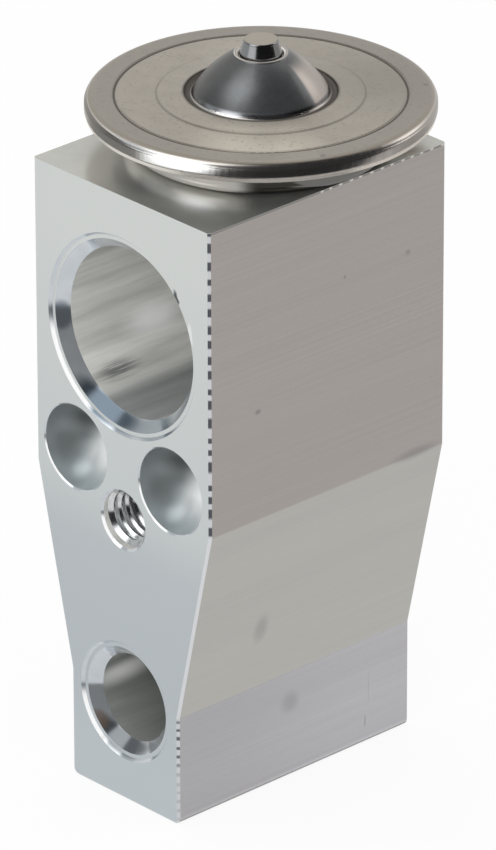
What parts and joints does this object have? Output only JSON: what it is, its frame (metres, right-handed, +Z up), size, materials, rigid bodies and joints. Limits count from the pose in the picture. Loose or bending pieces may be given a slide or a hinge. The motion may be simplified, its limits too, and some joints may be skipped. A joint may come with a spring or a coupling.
{
  "type": "block expansion valve",
  "caption": "Block-type thermostatic expansion valve for a vehicle air conditioner: tapered aluminium body with crossing ports and a round pressed power head on top.",
  "frame": {"origin": "middle of the block's underside, in the middle of its width and depth", "axes": "+Z up through the power head, -Y out of the pipe face with the tapped clamp hole, +X out of an extruded side"},
  "size_m": [0.0342, 0.0356, 0.0763],
  "materials": {
    "block_aluminium": "extruded and milled, satin",
    "head_stainless": "pressed stainless, tumbled to a soft polish",
    "plug_steel": "polished",
    "turned_steel": "turned",
    "shaft_aluminium": "turned",
    "spring_steel": "drawn wire and sheet",
    "screw_brass": "turned",
    "seal_rubber": "matt"
  },
  "bodies": {
    "valve_body": {"valve_block": "block_aluminium", "head_neck": "turned_steel", "head_seal": "seal_rubber", "head_lower_cover": "head_stainless", "diaphragm": "spring_steel", "head_upper_cover": "head_stainless", "charge_plug": "plug_steel", "shaft_damping_spring": "spring_steel", "rod_oring": "seal_rubber", "rod_oring_retainer": "spring_steel", "valve_spring": "spring_steel"},
    "valve_stem": {"diaphragm_stop": "turned_steel", "sensing_shaft": "shaft_aluminium", "push_rod": "turned_steel", "valve_ball": "turned_steel", "ball_carrier": "turned_steel"},
    "screw_seal": {"adjusting_screw_oring": "seal_rubber"},
    "superheat_screw": {"adjusting_screw": "screw_brass"}
  },
  "joints": [
    {"name": "valve_lift", "type": "slide", "parent": "valve_body", "child": "valve_stem", "axis": [0, 0, -1], "range_m": [0, 0.0005], "stiffness_N_per_m": 8000, "deforming": ["valve_spring", "diaphragm"]},
    {"name": "screw_advance", "type": "slide", "parent": "valve_body", "child": "screw_seal", "axis": [0, 0, 1], "range_m": [-0.00075, 0.00075]},
    {"name": "screw_turn", "type": "hinge", "parent": "screw_seal", "child": "superheat_screw", "pos_m": [0, 0.0028, 0.005], "axis": [0, 0, 1], "range_deg": [-360, 360]}
  ],
  "couplings": [
    {"joint": "screw_turn", "follows": "screw_advance", "rad_per_m": 8377.6}
  ]
}
